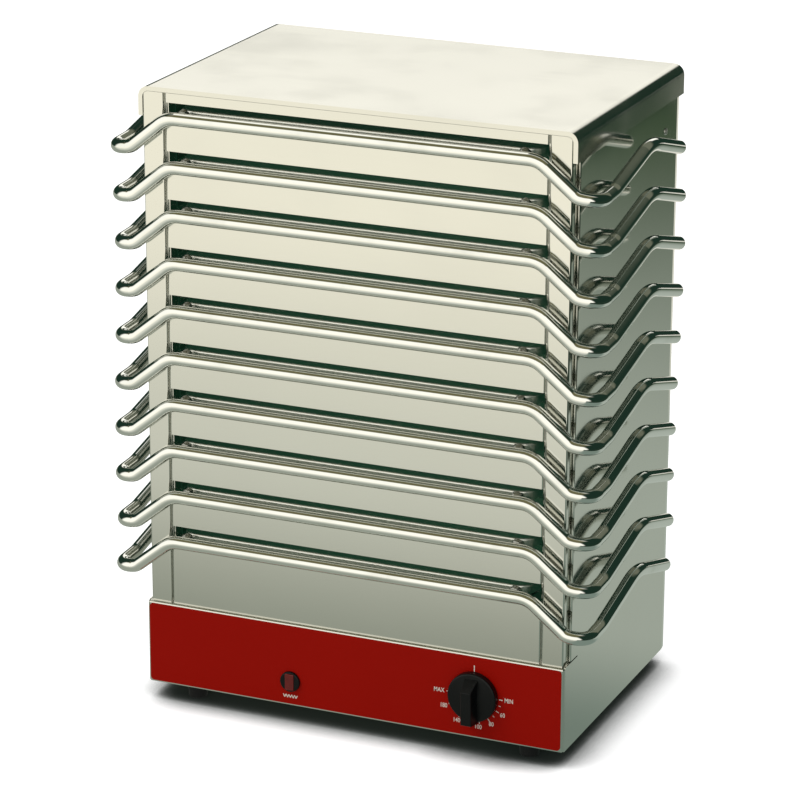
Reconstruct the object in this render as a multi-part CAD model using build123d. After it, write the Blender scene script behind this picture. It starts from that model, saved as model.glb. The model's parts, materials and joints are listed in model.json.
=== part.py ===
"""Plate warmer cabinet: a countertop cabinet of folded stainless sheet that heats ten
removable aluminium warming plates, each carried by a bent chromed rod.

Frame: X to the right seen from the front, Y to the back, Z up, floor at Z = 0, and the
origin under the middle of the whole object. Sizes are in millimetres. Lengths along Y are
first named from the cabinet's front face (y = 0), then moved by FRONT_Y.
"""
from build123d import *
from math import acos, atan2, cos, degrees, pi, radians, sin, tan
import os

# ---------------------------------------------------------------- driving dimensions
BODY_WIDTH = 334.8        # over the side walls
BODY_DEPTH = 222.0        # front face to the back of the back panel
BODY_HEIGHT = 462.0       # without the feet
FOOT_HEIGHT = 13.0        # clear height under the body
BASE_HEIGHT = 66.0        # control panel height
SHEET = 1.0               # thickness of all stainless sheet
BEND = 2.0                # outside radius of a sheet bend
FIT = 0.1                 # gap between sheets that are spot-welded or screwed together

# plates and their slots
PLATE_COUNT = 10
TOP_RAIL_DROP = 20.0      # top of the body to the first rail's centre
LAST_RAIL_RISE = 52.0     # base to the last rail's centre
SLOT_ABOVE = 9.5          # slot's upper edge above the rail's centre
SLOT_BELOW = 4.5          # slot's lower edge below the rail's centre
SLOT_RETURN = 4.0         # how far a slot runs round into the ladder's side flange
PLATE_SIDE = 7.4          # ladder panel's edge to the plate's edge
PLATE_DEPTH = 190.0
PLATE_THICKNESS = 8.0
PLATE_ABOVE = 5.0         # plate's top above the rail's centre
PLATE_SETBACK = 2.0       # plate's front edge behind the front face
PLATE_CORNER = 14.0
PLATE_EDGE = 2.2
SEAT_GAP = 0.2            # plate above its ledges
# each plate sits a little to one side in its slot
SEAT_SHIFT = [0.4, 1.4, 2.0, 1.6, 0.8, -0.4, -1.0, -1.4, -0.6, -2.0]

# chromed rod carrier, right half, from the rail's centre
ROD_RADIUS = 5.0
ROD_AHEAD = 8.0           # rail's centre line ahead of the front face
RAIL_OVER = 2.6           # where the rail turns down, beyond the plate's edge
KNEE_OUT = 4.2            # knee beyond the side wall
KNEE_DROP = 23.6
WALL_TO_ARM = 20.0        # side wall's face to the arm's centre line
CORNER_DROP = 26.0
FOOT_BACK = 21.0          # where the arm starts to rise, behind the front face
FOOT_DROP = 24.8
CREST_BACK = 96.0
CREST_DROP = 8.0
ARM_END_BACK = 160.0
ARM_END_DROP = CORNER_DROP   # the plate stands level on its corners and arm ends
RAIL_BEND = 19.5
KNEE_BEND = 10.0
CORNER_BEND = 12.5
FOOT_BEND = 36.0
CREST_BEND = 60.0
STUD_RADIUS = 2.5         # studs that hold the plate on the rail
STUD_INSET = 9.0          # from the plate's edge
STUD_DEPTH = 24.0         # into the plate
STUD_CLEARANCE = 0.05
WELD_RADIUS = 3.6

# front frame: ladder panel between two columns
COLUMN_FACE = 16.6        # column's width seen from the front
LADDER_FLANGE = 14.0
COLUMN_RETURN = 30.0
FRONT_BEND = 1.3          # the columns and the ladder panel are bent sharply
COLUMN_TOP_CORNER = 4.4   # rounded to stay inside the hood's lip
HEM_START = 10.4          # side wall's hemmed front edge behind the front face
HEM_WIDTH = 6.0
HEM_GAP = 0.2
SLIT = 1.0                # relief slit at the foot of the hem
SLIT_END = 24.0
REAR_FLANGE = 21.0
REAR_SET = 8.0            # last part of a side wall, set in a little before its flange
REAR_SET_IN = 1.2

# hood
HOOD_SIDE = 22.0          # side flange height
HOOD_RADIUS = 8.0
HOOD_LIP = 3.4
HOOD_CLEARANCE = 0.4
HOOD_REAR = 14.0
LIP_GAP = 0.2

# runner racks
RACK_BACK_FLANGE = 6.0
LEDGE_WIDTH = 16.0
LEDGE_START = 18.0
LEDGE_STOP = 6.0          # upturned end of a ledge
STOP_GAP = 0.5
RACK_FRONT = 3.0
SPACER_BACK = 188.0       # rivet that ties a side wall to its rack
SPACER_WIDTH = 16.0
SPACER_HEIGHT = 26.0
UPPER_RIVET_DROP = 43.0
RIVET_RADIUS = 1.6
RIVET_HEAD = 2.6

# base
PANEL_PROUD = 3.0         # control panel ahead of the front face
PANEL_TOP_FLANGE = 15.0
PANEL_BOTTOM_FLANGE = 4.0
FASCIA_THICKNESS = 0.6
FASCIA_MARGIN = 1.8
FASCIA_CORNER = 3.0
TRAY_WALL = 12.0
DECK_RISE = 13.0          # chamber floor above the base
DECK_FRONT = 1.2

# heating element
ELEMENT_RADIUS = 4.0
ELEMENT_RISE = 16.0       # above the chamber floor
ELEMENT_FIRST = 50.0      # first leg behind the front face
ELEMENT_STEP = 40.0
ELEMENT_LEGS = 4
ELEMENT_LEFT_INSET = 27.4   # ends of the element inside the ladder panel's edges
ELEMENT_RIGHT_INSET = 31.4
ELEMENT_HAIRPIN_INSET = 28.0
ELEMENT_BEND = 18.0
ELEMENT_TAIL = 24.0       # below the chamber floor
ELEMENT_PIN = 1.5
ELEMENT_PIN_LENGTH = 10.0
BUSH_RADIUS = 7.0
BUSH_NECK = 5.2
BUSH_NECK_LENGTH = 9.0
BUSH_FLANGE = 3.0
BUSH_NUT = 4.5
SUPPORT_INSET = 54.0
SUPPORT_FOOT = 10.0
SUPPORT_MARGIN = 9.0

# thermostat, dial centre on the control panel
DIAL_INSET = 69.2         # dial centre inside the right wall's face
DIAL_Z = 34.0             # above the body's bottom edge
THERMOSTAT_WIDTH = 42.0
THERMOSTAT_HEIGHT = 40.0
THERMOSTAT_DEPTH = 26.0
SHAFT_RADIUS = 3.0
SHAFT_FLAT = 1.6          # flat's distance from the shaft's axis
SHAFT_CLEARANCE = 0.05
SHAFT_IN_BODY = 16.0
THERMOSTAT_SCREW_X = 12.0
KNOB_RADIUS = 19.0
KNOB_GAP = 0.6
KNOB_SKIRT = 5.2          # height of the round skirt
KNOB_HEIGHT = 16.6
KNOB_WALL = 2.0
KNOB_HUB = 6.0
GRIP_WIDTH = 10.4
GRIP_RIDGE = 8.0
GRIP_TAIL = 16.0          # where the sloped end of the grip meets the skirt
GRIP_TAIL_RIDGE = 8.5
GRIP_NOSE = 19.4
BULB_RADIUS = 3.0
BULB_LENGTH = 70.0
BULB_INSET = 19.4         # inside the ladder panel's edge
BULB_RISE = 8.0
BULB_FRONT = 96.0
CAPILLARY_RADIUS = 1.0
CAPILLARY_ASIDE = 9.8     # from the shaft's axis
CAPILLARY_BACK = 20.0
CAPILLARY_DROP = 22.0     # goes down this far ahead of the bulb
CLIP_WALL = 1.0
CLIP_WIDTH = 10.0

# pilot lamp
LAMP_INSET = 118.4        # inside the left wall's face
LAMP_Z = 20.0
LAMP_RADIUS = 8.0
LAMP_PROUD = 2.2
LAMP_BARREL = 6.2
LAMP_BARREL_LENGTH = 24.0
LENS_WIDTH = 7.2
LENS_HEIGHT = 12.8
LENS_DEPTH = 1.6
LENS_PROUD = 0.7

# mains entry
INLET_INSET = 49.4        # inside the right wall's face
INLET_Z = 38.0            # above the body's bottom edge
INLET_BORE = 4.0
GLAND_HEX = 9.5           # half the width across flats
GLAND_THREAD = 7.9
GLAND_OUT = 20.0
GLAND_IN = 10.0
GLAND_NUT = 5.0
BLOCK_SIZE = (44.0, 20.0, 16.0)
BLOCK_ASIDE = 58.0        # from the inlet's axis
BLOCK_AHEAD = 46.0        # of the back face
BLOCK_WELL = 3.0
BLOCK_WIRE = 2.0
EARTH_ASIDE = 22.0
EARTH_RADIUS = 2.5
EARTH_NUT = 4.0
EARTH_HEIGHT = 14.0

# feet
FOOT_INSET = 32.4
FOOT_FRONT = 15.0
FOOT_REAR = 24.0          # ahead of the back face
FOOT_RADIUS = 8.0
FOOT_TAPER = 0.8
FOOT_RECESS = 4.6
FOOT_FLOOR = 6.0          # rubber between the screw's head and the tray
FOOT_SCREW = 2.0
FOOT_SCREW_HEAD = 2.4
FOOT_SCREW_END = 6.0
FOOT_NUT = 3.5
FOOT_NUT_HEIGHT = 3.2
FOOT_ROUND = 1.2

# screws in the back
SCREW_RADIUS = 1.75
SCREW_HEAD = 3.6
SCREW_HEAD_HEIGHT = 2.0
SCREW_LENGTH = 7.0
SCREW_LOW = 30.0          # lowest and highest screw from the body's ends
SCREW_HIGH = 27.0
HOOD_SCREW_INSET = 47.4

# ventilation slots
VENT_COUNT = 9
VENT_STEP = 9.0
VENT_WIDTH = 3.0
VENT_HEIGHT = 26.0

# ---------------------------------------------------------------- worked out from those
KNOB_FRONT = PANEL_PROUD + FASCIA_THICKNESS + KNOB_GAP + KNOB_HEIGHT
FRONT_Y = -(KNOB_FRONT + BODY_DEPTH + GLAND_OUT) / 2 + KNOB_FRONT
BOTTOM = FOOT_HEIGHT
TOP = FOOT_HEIGHT + BODY_HEIGHT
PITCH = (BODY_HEIGHT - TOP_RAIL_DROP - BASE_HEIGHT - LAST_RAIL_RISE) / (PLATE_COUNT - 1)
BASE_TOP = BOTTOM + BASE_HEIGHT
DECK_TOP = BASE_TOP + DECK_RISE
WALL = BODY_WIDTH / 2                    # outside face of a side wall
WALL_INSIDE = WALL - SHEET
REAR_EDGE = WALL - REAR_SET_IN
HEM = 2 * SHEET + HEM_GAP
COLUMN_OUT = WALL - HEM                  # column's outer return, against the hem
COLUMN_IN = COLUMN_OUT - COLUMN_FACE
RACK_OUTER = COLUMN_IN - FIT
RACK_INNER = RACK_OUTER - SHEET
LADDER_HALF = RACK_INNER - FIT
PLATE_HALF = LADDER_HALF - PLATE_SIDE
RAIL_HALF = PLATE_HALF + RAIL_OVER
STUD_X = PLATE_HALF - STUD_INSET
KNEE_X = WALL + KNEE_OUT
BACK_INSIDE = BODY_DEPTH - SHEET
REAR_FLANGE_INSIDE = BACK_INSIDE - SHEET
HOOD_OUT = WALL + HOOD_CLEARANCE + SHEET
FRAME_TOP = TOP - HOOD_LIP - LIP_GAP
WALL_TOP = TOP - HOOD_RADIUS
RAILS = [TOP - TOP_RAIL_DROP - PITCH * i for i in range(PLATE_COUNT)]
ARM_X = WALL + WALL_TO_ARM
PLATE_REAR = PLATE_SETBACK + PLATE_DEPTH
TRAY_BOTTOM = BOTTOM + SHEET
TRAY_TOP = TRAY_BOTTOM + SHEET
FASCIA_FRONT = -PANEL_PROUD - FASCIA_THICKNESS
DIAL = (WALL - DIAL_INSET, BOTTOM + DIAL_Z)
LAMP = (LAMP_INSET - WALL, BOTTOM + LAMP_Z)
INLET = (WALL - INLET_INSET, BOTTOM + INLET_Z)
BLOCK_X = INLET[0] - BLOCK_ASIDE
BLOCK_BACK = BODY_DEPTH - BLOCK_AHEAD
EARTH_X = INLET[0] - EARTH_ASIDE
CAPILLARY_X = DIAL[0] + CAPILLARY_ASIDE
BULB_X = LADDER_HALF - BULB_INSET
FOOT_X = WALL - FOOT_INSET
SCREW_HEIGHTS = (SCREW_LOW, BODY_HEIGHT / 2, BODY_HEIGHT - SCREW_HIGH)
HOOD_SCREWS_X = (HOOD_SCREW_INSET - WALL, 0, WALL - HOOD_SCREW_INSET)
ELEMENT_Z = DECK_TOP + ELEMENT_RISE
ELEMENT_LEFT = ELEMENT_LEFT_INSET - LADDER_HALF
ELEMENT_INNER = ELEMENT_LEFT + ELEMENT_HAIRPIN_INSET
ELEMENT_RIGHT = LADDER_HALF - ELEMENT_RIGHT_INSET
SUPPORT_X = ELEMENT_RIGHT - SUPPORT_INSET
ELEMENT_LAST = ELEMENT_FIRST + ELEMENT_STEP * (ELEMENT_LEGS - 1)
RIVET_HEIGHTS = (TOP - UPPER_RIVET_DROP, DECK_TOP + 1.0)


# ---------------------------------------------------------------- shapes
def block(x0, x1, y0, y1, z0, z1):
    """A box given by its six faces."""
    corner = Location((min(x0, x1), min(y0, y1), min(z0, z1)))
    low = (Align.MIN, Align.MIN, Align.MIN)
    return corner * Box(abs(x1 - x0), abs(y1 - y0), abs(z1 - z0), align=low)


def rod(start, direction, radius, length):
    """A round bar from a point along a direction."""
    plane = Plane(origin=start, z_dir=direction)
    return extrude(plane * Circle(radius), length)


def rounded_edges(points, radii):
    """Lines and arcs along a polyline whose inner corners have the given radii."""
    points = [Vector(*point) for point in points]
    edges = []
    last = points[0]
    for before, corner, after, radius in zip(points, points[1:], points[2:], radii):
        back = (before - corner).normalized()
        ahead = (after - corner).normalized()
        half = acos(max(-1, min(1, back.dot(ahead)))) / 2
        start = corner + back * (radius / tan(half))
        end = corner + ahead * (radius / tan(half))
        middle = corner + (back + ahead).normalized() * (radius / sin(half) - radius)
        if (start - last).length > 1e-6:
            edges.append(Edge.make_line(last, start))
        edges.append(Edge.make_three_point_arc(start, middle, end))
        last = end
    edges.append(Edge.make_line(last, points[-1]))
    return edges


def sheet_face(points, bend=BEND, thickness=SHEET):
    """Section of a folded sheet. The points are the corners of one face, and the metal
    lies to the left of them. A bend is one radius, or one for each corner."""
    bends = [bend] * (len(points) - 2) if isinstance(bend, (int, float)) else bend
    points = [Vector(*point) for point in points]
    runs = [(b - a).normalized() for a, b in zip(points, points[1:])]
    lefts = [Vector(-run.Y, run.X) for run in runs]
    far = [points[0] + lefts[0] * thickness]
    near_radii = []
    far_radii = []
    for point, a, b, la, lb, outside in zip(points[1:], runs, runs[1:], lefts, lefts[1:], bends):
        far.append(point + (la + lb) * (thickness / (1 + la.dot(lb))))
        turns_left = a.X * b.Y - a.Y * b.X > 0
        near_radii.append(outside if turns_left else outside - thickness)
        far_radii.append(outside - thickness if turns_left else outside)
    far.append(points[-1] + lefts[-1] * thickness)
    outline = rounded_edges([tuple(p) for p in points], near_radii)
    outline.append(Edge.make_line(points[-1], far[-1]))
    outline += rounded_edges([tuple(p) for p in reversed(far)], far_radii[::-1])
    outline.append(Edge.make_line(far[0], points[0]))
    return Face(Wire(outline))


def upright(points, z0, z1, bend=BEND):
    """A folded sheet whose section lies flat, from z0 to z1."""
    return extrude(Pos(0, 0, z0) * sheet_face(points, bend), z1 - z0)


def mirrored(shape):
    """The left-hand copy of a right-hand piece."""
    return mirror(shape, about=Plane.YZ)


def tube_along(points, radii, radius):
    """A round bar bent along a rounded polyline."""
    path = Wire(rounded_edges(points, radii))
    start = Plane(origin=path @ 0, z_dir=path % 0)
    return sweep(start * Circle(radius), path=path)


def pan(x0, x1, y0, y1, z0, z1, opening, thickness=SHEET, bend=BEND):
    """A pressed pan: a rounded box, hollow and open towards one side."""
    outside = block(x0, x1, y0, y1, z0, z1)
    inside = block(x0 + thickness, x1 - thickness, y0 + thickness, y1 - thickness,
                   z0 + thickness, z1 - thickness)
    axis = {"+Y": Axis.Y, "+Z": Axis.Z, "-Z": -Axis.Z}[opening]
    open_outside = outside.faces().sort_by(axis)[-1]
    outside = fillet(outside.edges() - open_outside.edges(), bend)
    open_inside = inside.faces().sort_by(axis)[-1]
    inside = fillet(inside.edges() - open_inside.edges(), bend - thickness)
    mouth = inside.faces().sort_by(axis)[-1]
    return outside - inside - extrude(mouth, 2 * thickness)


def pan_head_screw(point, direction, length=SCREW_LENGTH):
    """A pan-head screw: the point is under its head, the direction the way it goes in."""
    d = Vector(*direction)
    head = rod(point, -d, SCREW_HEAD, SCREW_HEAD_HEIGHT)
    rim = head.edges().sort_by(Axis(point, tuple(-d)))[-1]
    return fillet(rim, SCREW_HEAD_HEIGHT * 0.6) + rod(point, d, SCREW_RADIUS, length)


# ---------------------------------------------------------------- cabinet shell
def hood():
    """Top cover: one sheet bent over the sides, with a narrow front lip and a rear flange."""
    half = HOOD_OUT
    low = TOP - HOOD_SIDE
    corners = [(half, low), (half, TOP), (-half, TOP), (-half, low)]
    rear = BODY_DEPTH + FIT + SHEET
    skin = extrude(Plane.XZ * sheet_face(corners, HOOD_RADIUS), -rear)
    lip = extrude(Plane.XZ * sheet_face(corners, HOOD_RADIUS, HOOD_LIP), -SHEET)
    flange = block(-half + HOOD_RADIUS, half - HOOD_RADIUS, rear - SHEET, rear,
                   TOP - HOOD_REAR, TOP - SHEET / 2)
    for x in HOOD_SCREWS_X:
        flange -= rod((x, rear + 1, TOP - HOOD_REAR / 2), (0, -1, 0), SCREW_RADIUS, 4)
    return skin + lip + flange


def side_panel():
    """Right side wall: full height, its front edge hemmed above the base, its rear edge
    turned in to carry the back panel. A slit ends the hem."""
    inner = WALL - REAR_FLANGE
    rear = BACK_INSIDE
    back = [(WALL, rear - REAR_SET), (REAR_EDGE, rear), (inner, rear)]
    lower = [(WALL, FIT)] + back
    middle = [(WALL, SLIT_END)] + back
    upper = [(COLUMN_OUT, HEM_START + HEM_WIDTH), (COLUMN_OUT, HEM_START),
             (WALL, HEM_START)] + back
    panel = upright(lower, BOTTOM, BASE_TOP)
    panel += upright(middle, BASE_TOP, BASE_TOP + SLIT)
    panel += upright(upper, BASE_TOP + SLIT, WALL_TOP, [HEM / 2, HEM / 2, BEND, BEND])
    for z in SCREW_HEIGHTS:
        panel -= rod((WALL - REAR_FLANGE / 2, rear + 1, BOTTOM + z), (0, -1, 0), SCREW_RADIUS, 4)
    for z in RIVET_HEIGHTS:
        panel -= rod((WALL + 1, SPACER_BACK, z), (-1, 0, 0), RIVET_RADIUS, 4)
    return panel


def column():
    """Right front column: a folded channel beside the slots."""
    corners = [(COLUMN_IN, LADDER_FLANGE), (COLUMN_IN, 0), (COLUMN_OUT, 0),
               (COLUMN_OUT, COLUMN_RETURN)]
    post = upright(corners, BASE_TOP, FRAME_TOP, FRONT_BEND)
    corner = block(COLUMN_OUT - COLUMN_TOP_CORNER, COLUMN_OUT + 1, -1, COLUMN_RETURN + 1,
                   FRAME_TOP - COLUMN_TOP_CORNER, FRAME_TOP + 1)
    inside = (COLUMN_OUT - COLUMN_TOP_CORNER, -2, FRAME_TOP - COLUMN_TOP_CORNER)
    return post - (corner - rod(inside, (0, 1, 0), COLUMN_TOP_CORNER, COLUMN_RETURN + 5))


def ladder_panel():
    """Front panel with one slot for each plate. The slots run round into its side
    flanges, so that only the flanges join the rungs."""
    corners = [(-LADDER_HALF, LADDER_FLANGE), (-LADDER_HALF, 0), (LADDER_HALF, 0),
               (LADDER_HALF, LADDER_FLANGE)]
    panel = upright(corners, BASE_TOP, FRAME_TOP, FRONT_BEND)
    wide = LADDER_HALF + 1
    for rail in RAILS:
        panel -= block(-wide, wide, -1, SLOT_RETURN, rail - SLOT_BELOW, rail + SLOT_ABOVE)
    return panel


def back_panel():
    """Flat back with ventilation slots behind the base and the cable inlet's hole."""
    half = REAR_EDGE - BEND / 2
    outline = Rectangle(2 * half, BODY_HEIGHT - SHEET - FIT)
    top_corners = outline.vertices().sort_by(Axis.Y)[-2:]
    outline = fillet(top_corners, HOOD_RADIUS)
    centre = BOTTOM + (BODY_HEIGHT - SHEET - FIT) / 2
    panel = extrude(Plane.XZ.offset(-BACK_INSIDE) * Pos(0, centre) * outline, -SHEET)
    thread = GLAND_THREAD + FIT
    panel -= rod((INLET[0], BODY_DEPTH + 1, INLET[1]), (0, -1, 0), thread, 4)
    slot = Plane.XZ.offset(-BACK_INSIDE + 1) * SlotOverall(VENT_HEIGHT, VENT_WIDTH, 90)
    slot = extrude(slot, -3 * SHEET)
    for i in range(VENT_COUNT):
        x = (i - (VENT_COUNT - 1) / 2) * VENT_STEP
        panel -= Pos(x, 0, BOTTOM + BASE_HEIGHT / 2) * slot
    for x, z in back_screw_places() + hood_screw_places():
        panel -= rod((x, BODY_DEPTH + 1, z), (0, -1, 0), SCREW_RADIUS, 4)
    return panel


def back_screw_places():
    """Screws that hold the back panel on the side walls' rear flanges."""
    x = WALL - REAR_FLANGE / 2
    return [(side * x, BOTTOM + z) for side in (-1, 1) for z in SCREW_HEIGHTS]


def hood_screw_places():
    """Screws that hold the hood's rear flange on the back panel."""
    return [(x, TOP - HOOD_REAR / 2) for x in HOOD_SCREWS_X]


def panel_screws():
    """The back panel's and the hood's screws."""
    y = BODY_DEPTH
    screws = [pan_head_screw((x, y, z), (0, -1, 0)) for x, z in back_screw_places()]
    y += FIT + SHEET
    screws += [pan_head_screw((x, y, z), (0, -1, 0)) for x, z in hood_screw_places()]
    return Compound(screws)


# ---------------------------------------------------------------- runner racks
def rack():
    """Right runner rack: a web with one lanced ledge for each plate, an upturned stop at
    each ledge's end, and a flange on the side wall's rear flange."""
    corners = [(RACK_OUTER + RACK_BACK_FLANGE, REAR_FLANGE_INSIDE),
               (RACK_INNER, REAR_FLANGE_INSIDE), (RACK_INNER, RACK_FRONT)]
    web = upright(corners, BASE_TOP, TOP - SHEET)
    stop = PLATE_REAR + STOP_GAP
    tip = RACK_INNER - LEDGE_WIDTH
    for rail in RAILS:
        seat = rail + PLATE_ABOVE - PLATE_THICKNESS - SEAT_GAP
        rise = min(LEDGE_WIDTH, TOP - SHEET - 2 - seat)
        web -= block(RACK_INNER - 1, RACK_OUTER + 1, LEDGE_START, stop, seat, seat + rise)
        web += block(tip, RACK_OUTER, LEDGE_START, stop + SHEET, seat - SHEET, seat)
        web += block(tip, RACK_OUTER, stop, stop + SHEET, seat - SHEET, seat + LEDGE_STOP)
    return web


def spacer(z):
    """Channel between the right side wall and its rack, at one rivet."""
    y0 = SPACER_BACK - SPACER_WIDTH / 2
    y1 = SPACER_BACK + SPACER_WIDTH / 2
    corners = [(RACK_OUTER, y0), (WALL_INSIDE, y0), (WALL_INSIDE, y1), (RACK_OUTER, y1)]
    low = max(z - SPACER_HEIGHT / 2, BASE_TOP + 0.5)
    channel = upright(corners, low, z + SPACER_HEIGHT / 2)
    return channel - rod((WALL, SPACER_BACK, z), (-1, 0, 0), RIVET_RADIUS, 4)


def side_rivets():
    """Domed rivets through the side walls into the spacers."""
    rivets = []
    for z in RIVET_HEIGHTS:
        head = Pos(WALL, SPACER_BACK, z) * Rot(0, 90, 0) * Cylinder(
            RIVET_HEAD, 0.8, align=(Align.CENTER, Align.CENTER, Align.MIN))
        head = fillet(head.edges().sort_by(Axis.X)[-1], 0.6)
        rivet = head + rod((WALL, SPACER_BACK, z), (-1, 0, 0), RIVET_RADIUS, 2 * SHEET + 1.5)
        rivets += [rivet, mirrored(rivet)]
    return Compound(rivets)


# ---------------------------------------------------------------- warming plates
def plate_carrier(rail, shift):
    """Chromed rod: a front rail that dips at both ends, runs back outside the walls as an
    arched arm and ends rounded. Two welded studs hold the plate."""
    right = [(RAIL_HALF, -ROD_AHEAD, 0), (KNEE_X, -ROD_AHEAD, -KNEE_DROP),
             (ARM_X, -ROD_AHEAD, -CORNER_DROP), (ARM_X, FOOT_BACK, -FOOT_DROP),
             (ARM_X, CREST_BACK, -CREST_DROP), (ARM_X, ARM_END_BACK, -ARM_END_DROP)]
    bends = [RAIL_BEND, KNEE_BEND, CORNER_BEND, FOOT_BEND, CREST_BEND]
    left = [(-x, y, z) for x, y, z in reversed(right)]
    bar = tube_along(left + right, bends[::-1] + bends, ROD_RADIUS)
    for side in (-1, 1):
        bar += Pos(side * ARM_X, ARM_END_BACK, -ARM_END_DROP) * Sphere(ROD_RADIUS)
        height = PLATE_ABOVE - PLATE_THICKNESS / 2
        end = PLATE_SETBACK + STUD_DEPTH
        start = (side * STUD_X, -ROD_AHEAD, height)
        bar += rod(start, (0, 1, 0), STUD_RADIUS, ROD_AHEAD + end)
        bead = Pos(side * STUD_X, -ROD_AHEAD + ROD_RADIUS, height) * Sphere(WELD_RADIUS)
        bar += bead
    return Pos(shift, 0, rail) * bar


def warming_plate(rail, shift):
    """Aluminium plate with rounded corners and edges, drilled for its carrier's studs."""
    blank = extrude(Rectangle(2 * PLATE_HALF, PLATE_DEPTH), PLATE_THICKNESS)
    blank = fillet(blank.edges().filter_by(Axis.Z), PLATE_CORNER)
    blank = fillet(blank.faces().sort_by(Axis.Z)[-1].edges(), PLATE_EDGE)
    plate = Pos(0, PLATE_SETBACK + PLATE_DEPTH / 2, PLATE_ABOVE - PLATE_THICKNESS) * blank
    for side in (-1, 1):
        start = (side * STUD_X, PLATE_SETBACK - 2, PLATE_ABOVE - PLATE_THICKNESS / 2)
        hole = STUD_DEPTH + 2 + STUD_CLEARANCE
        plate -= rod(start, (0, 1, 0), STUD_RADIUS + STUD_CLEARANCE, hole)
    return Pos(shift, 0, rail) * plate


# ---------------------------------------------------------------- base
def panel_holes(front, back):
    """Holes for the thermostat's shaft and screws and for the pilot lamp."""
    depth = back - front + 2
    holes = rod((DIAL[0], front - 1, DIAL[1]), (0, 1, 0), SHAFT_RADIUS + 1, depth)
    for side in (-1, 1):
        x = DIAL[0] + side * THERMOSTAT_SCREW_X
        holes += rod((x, front - 1, DIAL[1]), (0, 1, 0), SCREW_RADIUS, depth)
    barrel = LAMP_BARREL + FIT
    return holes + rod((LAMP[0], front - 1, LAMP[1]), (0, 1, 0), barrel, depth)


def control_panel():
    """Front of the base: a shallow pan that stands proud of the cabinet's front."""
    shell = pan(-WALL, WALL, -PANEL_PROUD, PANEL_TOP_FLANGE, BOTTOM, BASE_TOP, "+Y")
    for side in (-1, 1):
        shell -= block(side * (WALL_INSIDE - FIT), side * (WALL + 1), 0, BODY_DEPTH, BOTTOM - 1,
                       BASE_TOP + 1)
    shell -= block(-WALL, WALL, PANEL_BOTTOM_FLANGE, BODY_DEPTH, BOTTOM - 1,
                   BASE_TOP - 2 * SHEET)
    return shell - panel_holes(-PANEL_PROUD, -PANEL_PROUD + SHEET)


def fascia():
    """Red enamelled plate on the control panel's face."""
    width = 2 * (WALL - FASCIA_MARGIN)
    height = BASE_HEIGHT - 2 * FASCIA_MARGIN
    face = Plane.XZ.offset(PANEL_PROUD) * Pos(0, BOTTOM + BASE_HEIGHT / 2)
    plate = extrude(face * RectangleRounded(width, height, FASCIA_CORNER), FASCIA_THICKNESS)
    return plate - panel_holes(FASCIA_FRONT, -PANEL_PROUD)


def base_tray():
    """Bottom of the base: a pan between the side walls, with vents and foot holes, notched
    where the walls are set in."""
    half = WALL_INSIDE - FIT
    tray = pan(-half, half, SHEET, REAR_FLANGE_INSIDE - FIT, TRAY_BOTTOM,
               TRAY_BOTTOM + TRAY_WALL, "+Z")
    slot = extrude(SlotOverall(VENT_HEIGHT, VENT_WIDTH, 90), 4 * SHEET)
    for i in range(VENT_COUNT):
        x = (i - (VENT_COUNT - 1) / 2) * VENT_STEP
        tray -= Pos(x, BODY_DEPTH / 2, TRAY_BOTTOM - 1) * slot
    for x, y in foot_places():
        tray -= rod((x, y, TRAY_BOTTOM - 1), (0, 0, 1), FOOT_SCREW + FIT, 4)
    notch = block(REAR_EDGE - SHEET - FIT, WALL, BACK_INSIDE - REAR_SET - FIT, BODY_DEPTH,
                  BOTTOM, TRAY_TOP + TRAY_WALL)
    return tray - notch - mirrored(notch)


def deck():
    """Chamber floor: a pan turned down onto the control panel's top flange, with holes
    for the element's bushes and the thermostat's capillary tube."""
    half = LADDER_HALF - SHEET - FIT
    floor = pan(-half, half, DECK_FRONT, REAR_FLANGE_INSIDE - FIT, BASE_TOP, DECK_TOP, "-Z")
    for y in (ELEMENT_FIRST, ELEMENT_LAST):
        floor -= rod((ELEMENT_LEFT, y, DECK_TOP + 1), (0, 0, -1), BUSH_NECK + FIT, 4)
    hole = CAPILLARY_RADIUS + 1.5
    return floor - rod((BULB_X, capillary_drop(), DECK_TOP + 1), (0, 0, -1), hole, 4)


def foot_places():
    """Centres of the four feet."""
    rear = BODY_DEPTH - FOOT_REAR
    return [(side * FOOT_X, y) for y in (FOOT_FRONT, rear) for side in (-1, 1)]


def foot(x, y):
    """Rubber foot: tapered, rounded below, with a recess for its screw's head."""
    top = TRAY_BOTTOM
    step = top - FOOT_FLOOR
    section = Polygon((FOOT_SCREW + FIT, top), (FOOT_RADIUS, top), (FOOT_RADIUS - FOOT_TAPER, 0),
                      (FOOT_RECESS, 0), (FOOT_RECESS, step), (FOOT_SCREW + FIT, step), align=None)
    body = revolve(Plane.XZ * section, Axis.Z)
    rim = body.edges().filter_by(lambda e: abs(e.bounding_box().size.X
                                               - 2 * (FOOT_RADIUS - FOOT_TAPER)) < 0.01)
    return Pos(x, y, 0) * fillet(rim, FOOT_ROUND)


def foot_screws():
    """A screw and a nut for each foot."""
    pieces = []
    for x, y in foot_places():
        seat = TRAY_BOTTOM - FOOT_FLOOR
        head = rod((x, y, seat), (0, 0, -1), FOOT_RECESS - 1, FOOT_SCREW_HEAD)
        shank = rod((x, y, seat), (0, 0, 1), FOOT_SCREW, FOOT_FLOOR + SHEET + FOOT_SCREW_END)
        hexagon = RegularPolygon(FOOT_NUT, 6, major_radius=False)
        nut = extrude(Plane(origin=(x, y, TRAY_TOP)) * hexagon, FOOT_NUT_HEIGHT)
        pieces += [head + shank + nut]
    return Compound(pieces)


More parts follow.
